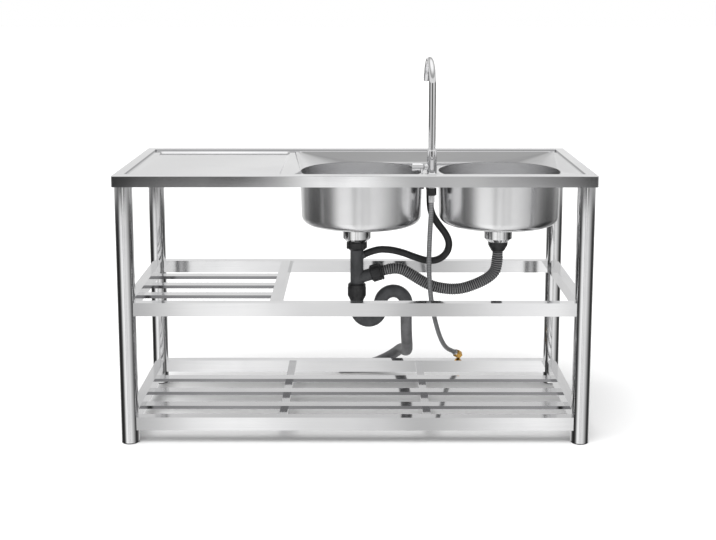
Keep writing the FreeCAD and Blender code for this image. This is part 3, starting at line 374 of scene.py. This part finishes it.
# ---- Tap ---------------------------------------------------------------------------------------
# A chromed brass body with a gooseneck spout and a side lever. A washer and a plated lock nut hold
# it to the top from below.
chrome = steel("tap_chrome", 0.86, 0.05, (40, 40, 40), scratch=0.000008)
dressed(["tap_body", "tap_handle", "tap_spout", "aerator"], chrome)
dressed(["tap_cartridge", "tap_washer"], black_plastic)
dressed(["tap_lock_nut"], bright_zinc)


# ---- Supply hose -------------------------------------------------------------------------------
# Stainless wire braided over a rubber hose, from under the tap down to the back rail. It starts in
# a black nut, is crimped in a polished ferrule at each end, and ends in a turned brass nut.
def smooth_line(name, route):
    """Points along the smooth curve that a hose takes from its route, in millimetres."""
    curve = bpy.data.curves.new(name + "_line", "CURVE")
    curve.dimensions = "3D"
    curve.resolution_u = 16
    spline = curve.splines.new("NURBS")
    spline.points.add(len(route) - 1)
    for point, (x, y, z) in zip(spline.points, route):
        point.co = (x / 1000, y / 1000, z / 1000, 1)
    spline.order_u = 3
    spline.use_endpoint_u = True
    carrier = bpy.data.objects.new(name + "_line", curve)
    bpy.context.scene.collection.objects.link(carrier)
    bpy.context.view_layer.update()
    mesh = bpy.data.meshes.new_from_object(carrier)
    line = [vertex.co.copy() for vertex in mesh.vertices]
    bpy.data.objects.remove(carrier)
    bpy.data.meshes.remove(mesh)
    return line


def distances(line):
    """How far along the line each of its points is."""
    run = [0.0]
    for one, two in zip(line, line[1:]):
        run.append(run[-1] + (two - one).length)
    return run


def plain_stations(line, radius, count):
    """Even stations of one radius, for a smooth hose."""
    length = distances(line)[-1]
    return [(length * i / count, radius) for i in range(count + 1)]


def tube(name, line, stations, sides):
    """A tube along a line. A station is (distance along it, radius); each end face is open at its bore."""
    wall = 0.002
    run = distances(line)
    points = []
    place = 0
    for distance, radius in stations:
        while place < len(run) - 2 and run[place + 1] < distance:
            place += 1
        share = (distance - run[place]) / (run[place + 1] - run[place])
        points.append((line[place].lerp(line[place + 1], share), radius, distance))
    verts = []
    faces = []
    side_of = Vector((0, 1, 0))
    for i, (point, radius, distance) in enumerate(points):
        before = points[max(i - 1, 0)][0]
        after = points[min(i + 1, len(points) - 1)][0]
        ahead = (after - before).normalized()
        side_of = (side_of - ahead * side_of.dot(ahead)).normalized()
        other = ahead.cross(side_of)
        for k in range(sides):
            angle = 2 * math.pi * k / sides
            verts.append(point + (side_of * math.cos(angle) + other * math.sin(angle)) * radius)
    rings = len(points)
    for i in range(rings - 1):
        for k in range(sides):
            one = i * sides + k
            two = i * sides + (k + 1) % sides
            faces.append((one, two, two + sides, one + sides))
    for ring in (0, rings - 1):
        point, radius, distance = points[ring]
        start = len(verts)
        for k in range(sides):
            outer = verts[ring * sides + k]
            verts.append(point + (outer - point) * ((radius - wall) / radius))
        for k in range(sides):
            one = ring * sides + k
            two = ring * sides + (k + 1) % sides
            quad = (one, start + k, start + (k + 1) % sides, two)
            faces.append(quad if ring == 0 else quad[::-1])
    mesh = bpy.data.meshes.new(name)
    mesh.from_pydata(verts, [], faces)
    mesh.update()
    # the map holds the share of a turn round the hose, and the metres along it
    hose_map = mesh.uv_layers.new(name="hose")
    total = rings * sides
    for polygon in mesh.polygons:
        columns = [mesh.loops[i].vertex_index % sides for i in polygon.loop_indices]
        wraps = max(columns) - min(columns) > 1
        for i in polygon.loop_indices:
            vertex = mesh.loops[i].vertex_index
            column = vertex % sides
            ring = min(vertex // sides, rings - 1) if vertex < total else 0
            turn = (column + sides if wraps and column == 0 else column) / sides
            hose_map.data[i].uv = (turn, points[ring][2])
    mesh.shade_smooth()
    piece = bpy.data.objects.new(name, mesh)
    bpy.context.scene.collection.objects.link(piece)
    return piece


supply_route = [
    (233, -96, 718), (233, -96, 673), (230, -93, 614), (228, -88, 552), (228, -79, 488), (232, -66, 428),
    (239, -44, 370), (249, -6, 318), (260, 40, 272), (271, 88, 231), (283, 136, 193), (297, 180, 159),
    (312, 226, 132), (333.1, 258.43, 113.39), (345.57, 275.06, 101.39),
]
supply_line = smooth_line("supply_hose", supply_route)
supply_piece = tube("braided_supply_hose", supply_line, plain_stations(supply_line, 0.0075, 160), 32)
braid, braid_surface, maths = shader("braided_steel")
turn, along = maths.node("ShaderNodeUVMap", {"uv_map": "hose"}, {}).parts()[:2]
strands = 12
wire_pitch = 0.011
left_wires = maths.maths("SINE", (turn * strands + along * (1 / wire_pitch)) * (2 * math.pi))
right_wires = maths.maths("SINE", (turn * strands - along * (1 / wire_pitch)) * (2 * math.pi))
height = (left_wires * right_wires).between(-1, 1)
# the weave's low parts are darkened as painted shade between the wires
link(height.blend((0.14, 0.14, 0.145), (0.62, 0.63, 0.64)), braid_surface.inputs["Base Color"])
braid_surface.inputs["Metallic"].default_value = 0.85
link(0.5 - height * 0.15, braid_surface.inputs["Roughness"])
link(maths.node("ShaderNodeBump", {}, {"Strength": 0.8, "Distance": 0.0008, "Height": height}),
     braid_surface.inputs["Normal"])
supply_piece.data.materials.append(braid)

brass, brass_surface, maths = shader("end_nut_brass")
tarnish = maths.node("ShaderNodeTexNoise", {}, {"Scale": 90, "Detail": 4}).between(0.45, 0.7)
link(tarnish.blend((0.90, 0.54, 0.12), (0.42, 0.16, 0.04)), brass_surface.inputs["Base Color"])
link(tarnish * 0.2 + 0.16, brass_surface.inputs["Roughness"])
brass_surface.inputs["Metallic"].default_value = 1.0
dressed(["supply_end_nut"], brass)
dressed(["supply_top_ferrule", "supply_end_ferrule"], polished)
dressed(["supply_top_nut"], black_plastic)

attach(supply_piece, "frame")
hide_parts("supply_hose")

# ---- Overflow hose -----------------------------------------------------------------------------
# Smooth black rubber, pushed over the elbow between the bowls. It hangs in a bend to the right and
# runs back to the spigot on the tee.
overflow_route = [
    (232.2, -20, 724), (232.2, -20, 689), (236, -27, 650), (258, -35, 616), (281, -36, 588),
    (295, -34, 556), (288, -28, 523), (264, -22, 500), (230, -20, 494), (190, -20, 506),
    (150, -20, 522), (108, -20, 532), (63.9, -20, 532.2), (29.2, -20, 516.8),
]
overflow_line = smooth_line("overflow_hose", overflow_route)
overflow_piece = tube("black_overflow_hose", overflow_line, plain_stations(overflow_line, 0.011, 120), 36)
black_rubber = moulded("black_rubber", (0.012, 0.012, 0.013), 0.42)
overflow_piece.data.materials.append(black_rubber)
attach(overflow_piece, "frame")
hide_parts("overflow_hose")

# ---- Cross hose --------------------------------------------------------------------------------
# Ribbed grey plastic, blown in one piece with a plain cuff at each end. It hangs in one plane from
# the tee's branch to the right waste.
cross_route = [
    (76.2, -20, 460.9), (112, -20, 471.8), (146, -20, 470), (176, -20, 452), (225, -20, 421),
    (262, -20, 408), (325, -20, 402), (385, -20, 422), (430, -20, 448), (447, -20, 478), (447, -20, 539),
]
cross_line = smooth_line("cross_hose", cross_route)
cross_length = distances(cross_line)[-1]
cuff_radius = 0.0162
cuff_length = 0.028
rib_pitch = 0.007
rib_shape = [(0.0, cuff_radius), (0.12, 0.0163), (0.24, 0.0172), (0.36, 0.0179), (0.5, 0.0180),
             (0.64, 0.0179), (0.76, 0.0172), (0.88, 0.0163)]
ribbed_length = cross_length - 2 * cuff_length
ribs = round(ribbed_length / rib_pitch)
stations = [(0.0, cuff_radius)]
for i in range(ribs):
    for share, radius in rib_shape:
        stations.append((cuff_length + ribbed_length * (i + share) / ribs, radius))
stations += [(cross_length - cuff_length, cuff_radius), (cross_length, cuff_radius)]
cross_piece = tube("ribbed_cross_hose", cross_line, stations, 44)
ribbed_grey, ribbed_surface, maths = shader("ribbed_grey_plastic")
along = maths.node("ShaderNodeUVMap", {"uv_map": "hose"}, {}).parts()[1]
rib_turn = (along - cuff_length) * (2 * math.pi * ribs / ribbed_length)
# the grooves between the ribs are painted near black as painted shade; the crests have the plastic's own
# grey with its scuffs
crest = (0.5 - maths.maths("COSINE", rib_turn) * 0.5).between(0.15, 0.85)
scuffs = maths.node("ShaderNodeTexNoise", {}, {"Scale": 60, "Detail": 3}).between(0.3, 0.8)
skin = scuffs.blend((0.20, 0.20, 0.205), (0.27, 0.27, 0.275))
link(crest.blend((0.022, 0.022, 0.024), skin), ribbed_surface.inputs["Base Color"])
link(0.62 - crest * 0.25, ribbed_surface.inputs["Roughness"])
cross_piece.data.materials.append(ribbed_grey)
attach(cross_piece, "frame")
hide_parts("cross_hose")

# ---- Drain hose --------------------------------------------------------------------------------
# Smooth grey plastic, from the trap's outlet over the bottom back rail to the floor behind the
# unit. It ends in a plain cuff for the drain pipe's socket.
drain_route = [
    (161, -20, 349), (161, -20, 300), (163, 0, 250), (167, 42, 206), (170, 97, 172), (169, 158, 147),
    (165, 220, 130), (157, 281, 118), (143, 330, 90), (111, 362, 58), (63, 376, 32), (5, 378, 20),
    (-53, 380, 21),
]
drain_line = smooth_line("drain_hose", drain_route)
drain_piece = tube("grey_drain_hose", drain_line, plain_stations(drain_line, 0.018, 160), 44)
grey_hose = moulded("grey_hose_plastic", (0.13, 0.13, 0.135), 0.42)
drain_piece.data.materials.append(grey_hose)
dressed(["drain_hose_cuff"], grey_hose)
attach(drain_piece, "frame")
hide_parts("drain_hose")
